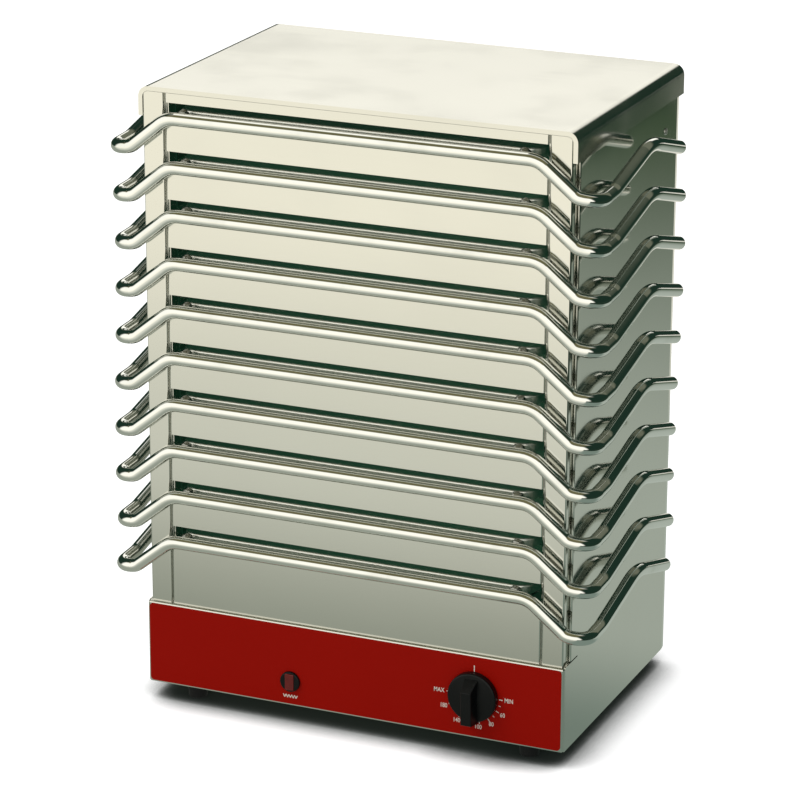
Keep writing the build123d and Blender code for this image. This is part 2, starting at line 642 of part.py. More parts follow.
# ---------------------------------------------------------------- heating
def heating_element():
    """Sheathed element: legs across the chamber joined by hairpin bends, with both ends
    turned down through the floor and ending in pins."""
    low = DECK_TOP - ELEMENT_TAIL
    points = [(ELEMENT_LEFT, ELEMENT_FIRST, low), (ELEMENT_LEFT, ELEMENT_FIRST, ELEMENT_Z)]
    for leg in range(ELEMENT_LEGS - 1):
        x = ELEMENT_RIGHT if leg % 2 == 0 else ELEMENT_INNER
        y = ELEMENT_FIRST + leg * ELEMENT_STEP
        points += [(x, y, ELEMENT_Z), (x, y + ELEMENT_STEP, ELEMENT_Z)]
    points += [(ELEMENT_LEFT, ELEMENT_LAST, ELEMENT_Z), (ELEMENT_LEFT, ELEMENT_LAST, low)]
    tail_bend = ELEMENT_RISE - 6
    bends = [tail_bend] + [ELEMENT_BEND] * (len(points) - 4) + [tail_bend]
    element = tube_along(points, bends, ELEMENT_RADIUS)
    for y in (ELEMENT_FIRST, ELEMENT_LAST):
        element += rod((ELEMENT_LEFT, y, low), (0, 0, -1), ELEMENT_PIN, ELEMENT_PIN_LENGTH)
    return element


def element_bushes():
    """Flanged bushes that clamp the element's ends in the chamber floor."""
    bushes = []
    for y in (ELEMENT_FIRST, ELEMENT_LAST):
        above = rod((ELEMENT_LEFT, y, DECK_TOP), (0, 0, 1), BUSH_RADIUS, BUSH_FLANGE)
        neck = rod((ELEMENT_LEFT, y, DECK_TOP), (0, 0, -1), BUSH_NECK, BUSH_NECK_LENGTH)
        nut = Plane(origin=(ELEMENT_LEFT, y, DECK_TOP - SHEET - BUSH_NUT))
        nut = extrude(nut * RegularPolygon(BUSH_RADIUS, 6, major_radius=False), BUSH_NUT)
        bore = rod((ELEMENT_LEFT, y, DECK_TOP + 2 * BUSH_FLANGE), (0, 0, -1),
                   ELEMENT_RADIUS + 0.02, BUSH_NECK_LENGTH + 3 * BUSH_FLANGE)
        bushes.append(above + neck + nut - bore)
    return Compound(bushes)


def element_support(x):
    """Upright strip that holds the element's legs above the floor, with a foot."""
    y0 = ELEMENT_FIRST - SUPPORT_MARGIN
    y1 = ELEMENT_LAST + SUPPORT_MARGIN
    high = ELEMENT_Z + ELEMENT_RADIUS + 3
    corners = [(x - SUPPORT_FOOT, DECK_TOP), (x, DECK_TOP), (x, high)]
    strip = extrude(Plane.XZ.offset(-y0) * sheet_face(corners), y0 - y1)
    for leg in range(ELEMENT_LEGS):
        y = ELEMENT_FIRST + leg * ELEMENT_STEP
        strip -= rod((x - 3, y, ELEMENT_Z), (1, 0, 0), ELEMENT_RADIUS + 0.15, 6)
    return strip


# ---------------------------------------------------------------- thermostat
def thermostat_body():
    """Capillary thermostat: a rounded case with a front plate against the control panel,
    terminals at its back, and bores for the shaft and the screws."""
    x, z = DIAL
    front = -PANEL_PROUD + SHEET
    plate = block(x - THERMOSTAT_WIDTH / 2, x + THERMOSTAT_WIDTH / 2, front, front + 2,
                  z - THERMOSTAT_HEIGHT / 2, z + THERMOSTAT_HEIGHT / 2)
    plate = fillet(plate.edges().filter_by(Axis.Y), 4)
    case = block(x - THERMOSTAT_WIDTH / 2 + 3, x + THERMOSTAT_WIDTH / 2 - 3, front + 1,
                 front + THERMOSTAT_DEPTH, z - THERMOSTAT_HEIGHT / 2 + 2,
                 z + THERMOSTAT_HEIGHT / 2 - 2)
    case = fillet(case.edges().filter_by(Axis.Y), 3)
    body = plate + case
    for side in (-1, 1):
        tab = x + side * 10
        back = front + THERMOSTAT_DEPTH
        body += block(tab - 3.15, tab + 3.15, back - 1, back + 8, z - 0.4, z + 0.4)
        screw = (x + side * THERMOSTAT_SCREW_X, front - 1, z)
        body -= rod(screw, (0, 1, 0), SCREW_RADIUS, SCREW_LENGTH + 1)
    bore = SHAFT_RADIUS + SHAFT_CLEARANCE
    body -= rod((x, front - 1, z), (0, 1, 0), bore, SHAFT_IN_BODY + 1.5)
    stem = CAPILLARY_X, CAPILLARY_BACK
    top = z + THERMOSTAT_HEIGHT / 2
    return body - rod((stem[0], stem[1], top + 1), (0, 0, -1), CAPILLARY_RADIUS, 7)


def thermostat_screws():
    """Two screws under the knob, from the fascia into the thermostat."""
    x, z = DIAL
    return Compound([pan_head_screw((x + side * THERMOSTAT_SCREW_X, FASCIA_FRONT, z), (0, 1, 0),
                                    SCREW_LENGTH - 1) for side in (-1, 1)])


def thermostat_shaft():
    """Shaft with a flat where the knob grips it."""
    x, z = DIAL
    front = FASCIA_FRONT - KNOB_GAP - KNOB_HEIGHT + 4
    back = -PANEL_PROUD + SHEET + SHAFT_IN_BODY
    shaft = rod((x, front, z), (0, 1, 0), SHAFT_RADIUS, back - front)
    return shaft - block(x - 5, x + 5, front - 1, FASCIA_FRONT - KNOB_GAP, z + SHAFT_FLAT, z + 9)


def thermostat_knob():
    """Round skirt with a tall grip bar. The bar's tail slopes down to the skirt, and its
    nose is the pointer, which points straight down at rest."""
    turned = Polygon((0, 0), (KNOB_RADIUS, 0), (KNOB_RADIUS, KNOB_SKIRT), (0, KNOB_SKIRT + 1.6),
                     align=None)
    skirt = revolve(Plane.XZ * turned, Axis.Z)
    top_rim = skirt.edges().filter_by(lambda e: abs(e.center().Z - KNOB_SKIRT) < 0.01)
    skirt = fillet(top_rim, 1.4)
    hollow = Pos(0, 0, -1) * Cylinder(KNOB_RADIUS - KNOB_WALL, KNOB_SKIRT - KNOB_WALL + 1,
                                      align=(Align.CENTER, Align.CENTER, Align.MIN))
    side_view = Polygon((GRIP_TAIL, KNOB_SKIRT - 1.5), (GRIP_TAIL_RIDGE, KNOB_HEIGHT),
                        (-GRIP_NOSE + 1.5, KNOB_HEIGHT - 1), (-GRIP_NOSE, KNOB_SKIRT - 3),
                        (0, KNOB_SKIRT - 3), align=None)
    bar = extrude(Plane.YZ * side_view, GRIP_WIDTH / 2, both=True)
    lean = degrees(atan2((GRIP_WIDTH - GRIP_RIDGE) / 2, KNOB_HEIGHT - KNOB_SKIRT))
    for side in (-1, 1):
        wedge = Pos(side * GRIP_WIDTH / 2, 0, KNOB_SKIRT) * Rot(0, -side * lean, 0)
        bar -= wedge * block(0, side * GRIP_WIDTH, -2 * KNOB_RADIUS, 2 * KNOB_RADIUS,
                             -KNOB_HEIGHT, 2 * KNOB_HEIGHT)
    ridge = bar.faces().sort_by(Axis.Z)[-1]
    bar = fillet(ridge.edges(), 0.8)
    knob = skirt - hollow + bar
    hub = Cylinder(KNOB_HUB, KNOB_HEIGHT - 3, align=(Align.CENTER, Align.CENTER, Align.MIN))
    knob += hub & (block(-KNOB_RADIUS, KNOB_RADIUS, -KNOB_RADIUS, KNOB_RADIUS, 0.5,
                         KNOB_SKIRT))
    bore = Pos(0, 0, -1) * Cylinder(SHAFT_RADIUS + SHAFT_CLEARANCE, KNOB_HEIGHT - 3 + 1,
                                    align=(Align.CENTER, Align.CENTER, Align.MIN))
    bore -= block(-KNOB_HUB, KNOB_HUB, SHAFT_FLAT + SHAFT_CLEARANCE, KNOB_HUB, 0, KNOB_HEIGHT)
    knob -= bore
    at = Plane(origin=(DIAL[0], FASCIA_FRONT - KNOB_GAP, DIAL[1]), x_dir=(1, 0, 0),
               z_dir=(0, -1, 0))
    return at.location * knob


def capillary_drop():
    """Where the capillary tube goes down through the chamber floor, in front of the bulb."""
    return BULB_FRONT - CAPILLARY_DROP


def thermostat_bulb():
    """Sensing bulb in the chamber and the capillary tube that leads to the thermostat."""
    z = DECK_TOP + BULB_RISE
    bulb = rod((BULB_X, BULB_FRONT, z), (0, 1, 0), BULB_RADIUS, BULB_LENGTH)
    bulb = fillet(bulb.edges(), 1.2)
    low = BASE_TOP - 6
    case_top = DIAL[1] + THERMOSTAT_HEIGHT / 2 - 2
    route = [(BULB_X, BULB_FRONT + 2, z), (BULB_X, capillary_drop(), z),
             (BULB_X, capillary_drop(), low), (CAPILLARY_X, CAPILLARY_BACK, low),
             (CAPILLARY_X, CAPILLARY_BACK, case_top - 4)]
    return bulb + tube_along(route, [5, 5, 3], CAPILLARY_RADIUS)


def bulb_clip():
    """Clip that stands on the chamber floor round the bulb."""
    z = DECK_TOP + BULB_RISE
    y0 = BULB_FRONT + BULB_LENGTH / 2 - CLIP_WIDTH / 2
    ring = rod((BULB_X, y0, z), (0, 1, 0), BULB_RADIUS + CLIP_WALL, CLIP_WIDTH)
    half = CLIP_WALL / 2
    stem = block(BULB_X - half, BULB_X + half, y0, y0 + CLIP_WIDTH, DECK_TOP, z)
    sole = block(BULB_X - half, BULB_X + 9, y0, y0 + CLIP_WIDTH, DECK_TOP, DECK_TOP + CLIP_WALL)
    bore = rod((BULB_X, y0 - 1, z), (0, 1, 0), BULB_RADIUS + 0.02, CLIP_WIDTH + 2)
    return ring + stem + sole - bore


# ---------------------------------------------------------------- pilot lamp
def lens_pocket(grow, front, back):
    """Rounded block of the lens's outline, grown on all sides."""
    face = Plane.XZ.offset(-front) * Pos(*LAMP)
    outline = RectangleRounded(LENS_WIDTH + 2 * grow, LENS_HEIGHT + 2 * grow, 0.8)
    return extrude(face * outline, front - back)


def pilot_bezel():
    """Black lamp holder: a round flange, a barrel through the panel and two tabs."""
    front = FASCIA_FRONT - LAMP_PROUD
    flange = rod((LAMP[0], FASCIA_FRONT, LAMP[1]), (0, -1, 0), LAMP_RADIUS, LAMP_PROUD)
    flange = fillet(flange.edges().sort_by(Axis.Y)[0], 1.2)
    barrel = rod((LAMP[0], FASCIA_FRONT, LAMP[1]), (0, 1, 0), LAMP_BARREL, LAMP_BARREL_LENGTH)
    back = FASCIA_FRONT + LAMP_BARREL_LENGTH
    holder = flange + barrel
    for side in (-1, 1):
        x = LAMP[0] + side * 3.2
        holder += block(x - 0.4, x + 0.4, back - 1, back + 7, LAMP[1] - 2.4, LAMP[1] + 2.4)
    return holder - lens_pocket(0.05, front - 1, front + LENS_DEPTH)


def pilot_lens():
    """Small rectangular lens in the lamp's face, softly rounded."""
    front = FASCIA_FRONT - LAMP_PROUD
    lens = lens_pocket(0, front - LENS_PROUD, front + LENS_DEPTH)
    return fillet(lens.faces().sort_by(Axis.Y)[0].edges(), 0.5)


# ---------------------------------------------------------------- mains entry
def cable_gland():
    """Cable gland in the back panel: hexagon, domed cap and thread, with a bore for a cord."""
    x, z = INLET
    y = BODY_DEPTH
    hexagon = Plane(origin=(x, y, z), z_dir=(0, 1, 0)) * RegularPolygon(GLAND_HEX, 6,
                                                                      major_radius=False)
    cap = rod((x, y + 6, z), (0, 1, 0), GLAND_HEX - 0.6, GLAND_OUT - 6)
    cap = fillet(cap.edges().sort_by(Axis.Y)[-1], 3)
    gland = extrude(hexagon, 6) + cap + rod((x, y, z), (0, -1, 0), GLAND_THREAD, GLAND_IN)
    return gland - rod((x, y + GLAND_OUT + 1, z), (0, -1, 0), INLET_BORE, GLAND_OUT + GLAND_IN + 2)


def gland_nut():
    """Lock nut inside the back panel."""
    x, z = INLET
    plane = Plane(origin=(x, BACK_INSIDE, z), z_dir=(0, -1, 0))
    nut = extrude(plane * RegularPolygon(GLAND_HEX + 1, 6, major_radius=False), GLAND_NUT)
    return nut - rod((x, BACK_INSIDE + 1, z), (0, -1, 0), GLAND_THREAD + 0.02, GLAND_NUT + 2)


def terminal_block():
    """Mains terminals on the tray: a stepped block with three screw wells."""
    wide, deep, high = BLOCK_SIZE
    x0 = BLOCK_X - wide / 2
    y0 = BLOCK_BACK - deep / 2
    body = block(x0, x0 + wide, y0, y0 + deep, TRAY_TOP, TRAY_TOP + high * 0.55)
    body += block(x0, x0 + wide, y0 + 4, y0 + deep - 4, TRAY_TOP, TRAY_TOP + high)
    cell = wide / 3
    for i in range(3):
        x = x0 + cell * (i + 0.5)
        body -= rod((x, BLOCK_BACK, TRAY_TOP + high + 1), (0, 0, -1), BLOCK_WELL, 5)
        body -= rod((x, y0 - 1, TRAY_TOP + 5), (0, 1, 0), BLOCK_WIRE, deep + 2)
    for i in (1, 2):
        x = x0 + cell * i
        body -= block(x - 0.6, x + 0.6, y0 - 1, y0 + deep + 1, TRAY_TOP + high * 0.7,
                      TRAY_TOP + high + 1)
    return body


def earth_stud():
    """Earth stud with its nut beside the terminals."""
    plane = Plane(origin=(EARTH_X, BLOCK_BACK, TRAY_TOP))
    nut = extrude(plane * RegularPolygon(EARTH_NUT, 6, major_radius=False), EARTH_NUT)
    return nut + rod((EARTH_X, BLOCK_BACK, TRAY_TOP), (0, 0, 1), EARTH_RADIUS, EARTH_HEIGHT)


# ---------------------------------------------------------------- assembly
def build():
    """All sub-parts by name, still measured from the front face."""
    wall, post, runner = side_panel(), column(), rack()
    parts = {
        "top_cover": hood(),
        "side_panel_right": wall, "side_panel_left": mirrored(wall),
        "column_right": post, "column_left": mirrored(post),
        "ladder_panel": ladder_panel(),
        "back_panel": back_panel(),
        "rack_right": runner, "rack_left": mirrored(runner),
        "side_rivets": side_rivets(),
        "panel_screws": panel_screws(),
        "control_panel": control_panel(), "fascia": fascia(),
        "base_tray": base_tray(), "chamber_floor": deck(),
        "heating_element": heating_element(), "element_bushes": element_bushes(),
        "element_support_left": element_support(-SUPPORT_X),
        "element_support_right": element_support(SUPPORT_X),
        "thermostat_body": thermostat_body(), "thermostat_screws": thermostat_screws(),
        "thermostat_shaft": thermostat_shaft(), "thermostat_knob": thermostat_knob(),
        "thermostat_bulb": thermostat_bulb(), "bulb_clip": bulb_clip(),
        "pilot_bezel": pilot_bezel(), "pilot_lens": pilot_lens(),
        "cable_gland": cable_gland(), "gland_nut": gland_nut(),
        "terminal_block": terminal_block(), "earth_stud": earth_stud(),
        "foot_screws": foot_screws(),
    }
    for level, z in zip(("upper", "lower"), RIVET_HEIGHTS):
        parts[f"rack_spacer_right_{level}"] = spacer(z)
        parts[f"rack_spacer_left_{level}"] = mirrored(spacer(z))
    places = ("front_left", "front_right", "rear_left", "rear_right")
    for place, (x, y) in zip(places, foot_places()):
        parts[f"foot_{place}"] = foot(x, y)
    for number, (rail, shift) in enumerate(zip(RAILS, SEAT_SHIFT), start=1):
        parts[f"warming_plate_{number:02d}"] = warming_plate(rail, shift)
        parts[f"plate_carrier_{number:02d}"] = plate_carrier(rail, shift)
    return parts


os.makedirs("parts", exist_ok=True)
for name, shape in build().items():
    export_step(Pos(0, FRONT_Y, 0) * shape, f"parts/{name}.step")
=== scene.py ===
# %% [markdown]
# # A plate warmer cabinet, dressed for its portrait
#
# The cabinet arrives from CAD as a frame of named steel sheets, rods, plates and
# controls. This file adds what CAD can't hold: how each surface takes the light, the
# white print round the dial, the ripple of each weld, and a small studio to stand in.
# The cabinet is nearly all polished metal, so most of its look is what it reflects.

# %% Load the frame
import json
import math

import bpy
import numpy as np
from mathutils import Matrix, Vector


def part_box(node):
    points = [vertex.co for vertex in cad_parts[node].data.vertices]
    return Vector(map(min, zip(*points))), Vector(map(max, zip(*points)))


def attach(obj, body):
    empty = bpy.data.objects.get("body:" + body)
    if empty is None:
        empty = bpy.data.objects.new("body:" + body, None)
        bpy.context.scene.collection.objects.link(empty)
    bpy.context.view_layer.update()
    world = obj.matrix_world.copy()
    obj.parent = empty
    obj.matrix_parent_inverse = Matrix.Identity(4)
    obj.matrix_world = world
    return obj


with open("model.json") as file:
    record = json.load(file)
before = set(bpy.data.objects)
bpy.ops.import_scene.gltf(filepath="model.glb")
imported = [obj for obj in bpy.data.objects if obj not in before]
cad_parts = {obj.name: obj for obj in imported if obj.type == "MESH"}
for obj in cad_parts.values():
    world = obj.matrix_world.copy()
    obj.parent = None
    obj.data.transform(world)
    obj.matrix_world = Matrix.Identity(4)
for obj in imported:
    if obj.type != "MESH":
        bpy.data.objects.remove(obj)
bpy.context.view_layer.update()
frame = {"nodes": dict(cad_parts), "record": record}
nodes = frame["nodes"]
slot_of = {part["node"]: part["material_slot"] for part in frame["record"]["subparts"]}

# %% [markdown]
# ## Writing shaders as arithmetic
#
# A finish is a small calculation that runs at every point of a surface. Node by node it
# is hard to read, so a socket is wrapped in a class on which +, - and * work: each of them
# adds the Math node that does the sum. Any other node comes from one method.

# %% Signals and finishes
class Signal:
    """A socket's value in a node tree, on which Python arithmetic adds Math nodes."""

    def __init__(self, finish, socket):
        self.finish, self.socket = finish, socket

    def _math(self, operation, *values):
        return self.finish.node("ShaderNodeMath", {"operation": operation}, list(values))

    def __add__(self, other):
        return self._math("ADD", self, other)

    def __sub__(self, other):
        return self._math("SUBTRACT", self, other)

    def __rsub__(self, other):
        return self._math("SUBTRACT", other, self)

    def __mul__(self, other):
        return self._math("MULTIPLY", self, other)

    __radd__ = __add__
    __rmul__ = __mul__

    def between(self, low, high):
        """0 below low, 1 above high, and a smooth step from one to the other."""
        return self.finish.node("ShaderNodeMapRange", {"interpolation_type": "SMOOTHSTEP"},
                                {"Value": self, "From Min": low, "From Max": high})


class Finish:
    """A node tree being written: node() adds any node, and the rest are shorthands."""

    def __init__(self, tree):
        self.tree = tree
        tree.nodes.clear()

    def node(self, kind, settings=None, values=(), output=0):
        """A node of this kind. Its settings come first, then its sockets' values or links."""
        node = self.tree.nodes.new(kind)
        for key, value in (settings or {}).items():
            setattr(node, key, value)
        pairs = values.items() if isinstance(values, dict) else enumerate(values)
        for socket, value in pairs:
            if isinstance(value, Signal):
                self.tree.links.new(value.socket, node.inputs[socket])
            else:
                node.inputs[socket].default_value = value
        return Signal(self, node.outputs[output]) if len(node.outputs) else None

    def place(self, stretch=(1, 1, 1)):
        """Object coordinates in metres, with each axis stretched."""
        here = self.node("ShaderNodeTexCoord", output="Object")
        return self.node("ShaderNodeMapping", {}, {"Vector": here, "Scale": stretch})

    def axes(self, vector):
        """The three coordinates of a vector."""
        return [self.node("ShaderNodeSeparateXYZ", {}, [vector], output=axis) for axis in "XYZ"]

    def ray(self, kind):
        """1 where the light's path is of this kind, and 0 elsewhere."""
        return self.node("ShaderNodeLightPath", output=f"Is {kind} Ray")

    def noise(self, scale, detail=2.0, stretch=(1, 1, 1), roughness=0.5):
        """Noise from 0 to 1, with about this many features to the metre."""
        return self.node("ShaderNodeTexNoise", {}, {"Vector": self.place(stretch),
                         "Scale": scale, "Detail": detail, "Roughness": roughness})

    def mix(self, one, other, share):
        """A colour between two colours."""
        one = (*one, 1) if isinstance(one, tuple) else one
        other = (*other, 1) if isinstance(other, tuple) else other
        return self.node("ShaderNodeMix", {"data_type": "RGBA"}, {0: share, 6: one, 7: other},
                         output=2)

    def bump(self, height, depth, below=None):
        """A normal from a height of 0 to 1 times a depth in metres."""
        values = {"Height": height, "Distance": depth, "Strength": 1.0}
        if below:
            values["Normal"] = below
        return self.node("ShaderNodeBump", {}, values)

    def surface(self, **values):
        """The Principled shader, wired to the output."""
        shader = self.node("ShaderNodeBsdfPrincipled", {}, {
            name.replace("_", " "): (*value, 1) if isinstance(value, tuple) else value
            for name, value in values.items()})
        self.node("ShaderNodeOutputMaterial", {}, [shader])


def new_material(name):
    """An empty material and the finish that is written into it."""
    material = bpy.data.materials.new(name)
    material.use_nodes = True
    return material, Finish(material.node_tree)


# %% [markdown]
# ## Stainless sheet
#
# The cabinet is bright rolled stainless: almost a mirror, but rolled sheet is never flat.
# Long shallow waves bend what it reflects, rolling leaves a very fine grain along the
# sheet, and hands leave faint dull patches. So the finish is a smooth metal with two
# bumps, one long and one fine, and a roughness that wanders a little.

# %% Stainless
# Painted shade: a faint green glow given to the inner steel and the plates, though they are no
# lamp, for the green cast of the dark inside the slots.
PAINTED_SHADE_GLOW = (0.0025, 0.011, 0.006)  # the faint green cast of the dark inside the slots


def stainless(name, colour, dull, stretch, wave=0.0005, grain=1.2e-6, shadow=(0, 0, 0)):
    """Rolled sheet. The stretch is small along the grain and large across it. A shadow colour
    makes the sheet glow faintly in it: painted shade.
    """
    material, f = new_material(name)
    waves = f.noise(4.5, 1.0)
    lines = f.noise(1.0, 3.0, stretch, 0.6)
    patches = f.noise(14.0, 3.0).between(0.45, 0.75)
    tint = f.mix(colour, tuple(0.93 * c for c in colour), f.noise(7.0, 2.0))
    normal = f.bump(lines, grain, f.bump(waves, wave))
    f.surface(Base_Color=tint, Metallic=1.0, Normal=normal,
              Roughness=dull + 0.05 * patches + 0.06 * (lines - 0.5),
              Emission_Color=shadow, Emission_Strength=1.0)
    return material


ACROSS = (9.0, 900.0, 900.0)     # grain along X
UPRIGHT = (900.0, 900.0, 9.0)    # grain along Z
BRIGHT_STEEL = (0.69, 0.69, 0.64)
front_steel = stainless("front steel", BRIGHT_STEEL, 0.13, ACROSS)
side_steel = stainless("side steel", BRIGHT_STEEL, 0.07, UPRIGHT, wave=0.0011)
# The inner steel glows faintly green: painted shade for the dark inside the slots.
mill_steel = stainless("mill steel", (0.56, 0.56, 0.53), 0.34, ACROSS, grain=4e-6,
                       shadow=PAINTED_SHADE_GLOW)

# %% [markdown]
# ## Chromed rod and aluminium plate
#
# Chrome plating copies the rod under it: drawn wire has faint lines along its length and
# small ripples where it was bent. The plates are rolled aluminium, softer and greyer,
# with streaks from the rolls and a fine dull bloom from heat and washing.

# %% Chrome and aluminium
def chromed_rod():
    """Bright plating with a slight ripple, and a dull bloom that comes and goes."""
    material, f = new_material("chromed rod")
    ripple = f.noise(60.0, 2.0)
    bloom = f.noise(25.0, 4.0).between(0.5, 0.8)
    f.surface(Base_Color=f.mix((0.78, 0.79, 0.76), (0.66, 0.67, 0.63), bloom), Metallic=1.0,
              Roughness=0.03 + 0.06 * bloom, Normal=f.bump(ripple, 0.00002))
    return material


def plate_aluminium():
    """Satin rolled aluminium with streaks along the plate, and a faint green glow that is painted
    shade.
    """
    material, f = new_material("plate aluminium")
    streaks = f.noise(1.0, 4.0, (14.0, 700.0, 700.0), 0.65)
    cloud = f.noise(9.0, 3.0)
    tint = f.mix((0.86, 0.85, 0.81), (0.74, 0.73, 0.69), cloud)
    # The faint green emission is painted shade for the dark inside the slots.
    f.surface(Base_Color=tint, Metallic=1.0, Roughness=0.27 + 0.12 * streaks,
              Emission_Color=PAINTED_SHADE_GLOW, Emission_Strength=1.0,
              Normal=f.bump(streaks, 0.000006))
    return material


# %% [markdown]
# ## Painted, moulded and rubber parts
#
# The red panel is stoved enamel: one even colour with the faint orange peel of sprayed
# paint. The knob, the lamp and the gland are moulded plastic with a fine spark-eroded
# texture, and the feet are dull rubber. The knob's sheen is kept low, so that it stays black.

# %% Enamel, plastics, rubber
def red_enamel():
    """Sprayed enamel: a little lighter and duller in soft clouds, with orange peel."""
    material, f = new_material("red enamel")
    peel = f.noise(420.0, 1.0)
    cloud = f.noise(11.0, 3.0)
    tint = f.mix((0.345, 0.0045, 0.0008), (0.315, 0.0040, 0.0006), cloud)
    f.surface(Base_Color=tint, Roughness=0.40 + 0.10 * cloud, Specular_IOR_Level=0.07,
              Normal=f.bump(peel, 0.000012))
    return material


def moulded(name, colour, dull, grit=900.0, sheen=0.5):
    """Moulded plastic with a fine texture and faint handling marks."""
    material, f = new_material(name)
    marks = f.noise(60.0, 4.0)
    tint = f.mix(colour, tuple(min(1.0, 1.35 * c + 0.002) for c in colour), marks)
    f.surface(Base_Color=tint, Roughness=dull + 0.14 * marks, Specular_IOR_Level=sheen,
              Normal=f.bump(f.noise(grit, 2.0), 0.00001))
    return material


RIB_PITCH = 0.0009


def red_lens():
    """Clear red plastic over a dark lamp: deep colour, a glossy skin and fine ribs."""
    material, f = new_material("red lens")
    x = f.axes(f.place())[0]
    ribs = f.node("ShaderNodeMath", {"operation": "SINE"}, [x * (2 * math.pi / RIB_PITCH)])
    depth = f.noise(300.0, 2.0)
    f.surface(Base_Color=f.mix((0.085, 0.003, 0.003), (0.19, 0.006, 0.005), depth),
              Roughness=0.12 + 0.05 * depth, Normal=f.bump(0.5 + 0.5 * ribs, 0.00006))
    return material


def small_metal(name, colour, dull):
    """Plated or drawn metal for screws, tubes and the element's sheath."""
    material, f = new_material(name)
    wear = f.noise(160.0, 4.0)
    f.surface(Base_Color=f.mix(colour, tuple(0.72 * c for c in colour), wear), Metallic=1.0,
              Roughness=dull + 0.16 * wear, Normal=f.bump(wear, 0.00002))
    return material


def printing_ink():
    """White screen ink: slightly cream, matt, thinner at the grain of the screen."""
    material, f = new_material("printing ink")
    mesh = f.noise(2600.0, 1.0)
    f.surface(Base_Color=f.mix((0.80, 0.76, 0.66), (0.70, 0.64, 0.55), mesh),
              Roughness=0.5 + 0.1 * mesh, Normal=f.bump(mesh, 0.000004))
    return material


ink = printing_ink()
finishes = {
    "stainless": front_steel,
    "inner_steel": mill_steel,
    "chromed_rod": chromed_rod(),
    "plate_aluminium": plate_aluminium(),
    "fasteners": small_metal("plated screws", (0.60, 0.60, 0.57), 0.22),
    "red_enamel": red_enamel(),
    "element_sheath": small_metal("element sheath", (0.20, 0.19, 0.18), 0.42),
    "black_plastic": moulded("black plastic", (0.0020, 0.0024, 0.0026), 0.22, sheen=0.22),
    "dark_plastic": moulded("dark plastic", (0.016, 0.016, 0.017), 0.45),
    "white_plastic": moulded("white plastic", (0.62, 0.61, 0.56), 0.4),
    "copper_tube": small_metal("copper tube", (0.62, 0.34, 0.22), 0.25),
    "red_lens": red_lens(),
    "foot_rubber": moulded("foot rubber", (0.008, 0.008, 0.008), 0.62, grit=500.0, sheen=0.25),
}
SIDE_SHEETS = ("side_panel_right", "side_panel_left", "column_right", "column_left")
for name, node in nodes.items():
    node.data.materials.clear()
    node.data.materials.append(side_steel if name in SIDE_SHEETS else finishes[slot_of[name]])
print("finishes on the CAD pieces:", len({*finishes.values(), side_steel}))

# %% [markdown]
# ## Thin solids from arrays
#
# Every new piece is a grid of points worked out at once with numpy, wrapped into a
# closed skin. One helper turns such a grid into a mesh object.

# %% Grids to meshes
def skin(name, grid, material, body, smooth=True):
    """A closed skin from a grid of points, rows by columns. Columns run round the piece,
    and the first and last row are closed with a face each."""
    rows, columns = grid.shape[:2]
    index = np.arange(rows * columns).reshape(rows, columns)
    ahead = np.roll(index, -1, axis=1)
    quads = np.stack([index[:-1], ahead[:-1], ahead[1:], index[1:]], axis=-1).reshape(-1, 4)
    faces = quads.tolist() + [index[0][::-1].tolist(), index[-1].tolist()]
    mesh = bpy.data.meshes.new(name)
    mesh.from_pydata(grid.reshape(-1, 3).tolist(), [], faces)
    return finish_piece(name, mesh, material, body, smooth)


def finish_piece(name, mesh, material, body, smooth=False):
    """Makes an object of a mesh whose place is in its points, and lets it ride."""
    mesh.materials.clear()
    mesh.materials.append(material)
    mesh.polygons.foreach_set("use_smooth", [smooth] * len(mesh.polygons))
    piece = bpy.data.objects.new(name, mesh)
    bpy.context.scene.collection.objects.link(piece)
    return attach(piece, body)


# %% [markdown]
# ## The dial
#
# The scale is screen-printed in white on the red enamel: MIN at the right, 60 to 180 round
# the lower half, MAX at the left, and a mark at the top for off. Print is a layer of ink,
# so each stroke is a solid a twentieth of a millimetre thick that lies on the enamel.

# %% Printed strokes
MM = 0.001
INK = 0.05 * MM
panel_low, panel_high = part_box("fascia")
FACE_Y = panel_low.y
shaft_low, shaft_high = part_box("thermostat_shaft")
DIAL_X = (shaft_low.x + shaft_high.x) / 2
DIAL_Z = (shaft_low.z + shaft_high.z) / 2


def stroke(points, width):
    """A printed stroke: at each point of the path the section is a flat rectangle of ink,
    as wide as the stroke and set square to the path's direction there."""
    points = np.array(points, float)
    along = np.gradient(points, axis=0)
    along /= np.linalg.norm(along, axis=1, keepdims=True)
    across = np.stack([-along[:, 1], along[:, 0]], axis=1) * width / 2
    edges = [points + across, points + across, points - across, points - across]
    depth = [FACE_Y, FACE_Y - INK, FACE_Y - INK, FACE_Y]
    return np.stack([np.stack([e[:, 0], np.full(len(e), y), e[:, 1]], axis=1)
                     for e, y in zip(edges, depth)], axis=1)


def dial_point(radius, angle):
    """A point on the panel from the dial's centre: the angle is 0 at the top and grows
    clockwise as seen from the front."""
    turn = math.radians(angle)
    return DIAL_X + radius * math.sin(turn), DIAL_Z + radius * math.cos(turn)


ticks = {"off": (0, 18.6, 23.6, 0.75), "min": (90, 19.6, 22.4, 0.75), "50": (104, 20.0, 21.6, 0.5),
         "60": (118, 19.6, 22.2, 0.6), "70": (132, 20.0, 21.6, 0.5), "80": (146, 19.6, 22.2, 0.6),
         "100": (168, 19.6, 22.2, 0.6), "120": (190, 20.0, 21.6, 0.5),
         "140": (212, 19.6, 22.2, 0.6), "160": (228, 20.0, 21.6, 0.5),
         "180": (244, 19.6, 22.2, 0.6), "max": (270, 19.6, 21.6, 0.6)}
for word, (angle, inner, outer, width) in ticks.items():
    reach = np.linspace(inner, outer, 3) * MM
    path = [dial_point(radius, angle) for radius in reach]
    skin(f"dial_tick_{word}", stroke(path, width * MM), ink, "cabinet",
         smooth=False)

# %% [markdown]
# The figures are set in Blender's own plain font, a little narrowed as on the dial. Text
# becomes a mesh first and is then moved, so that its place is in its points.

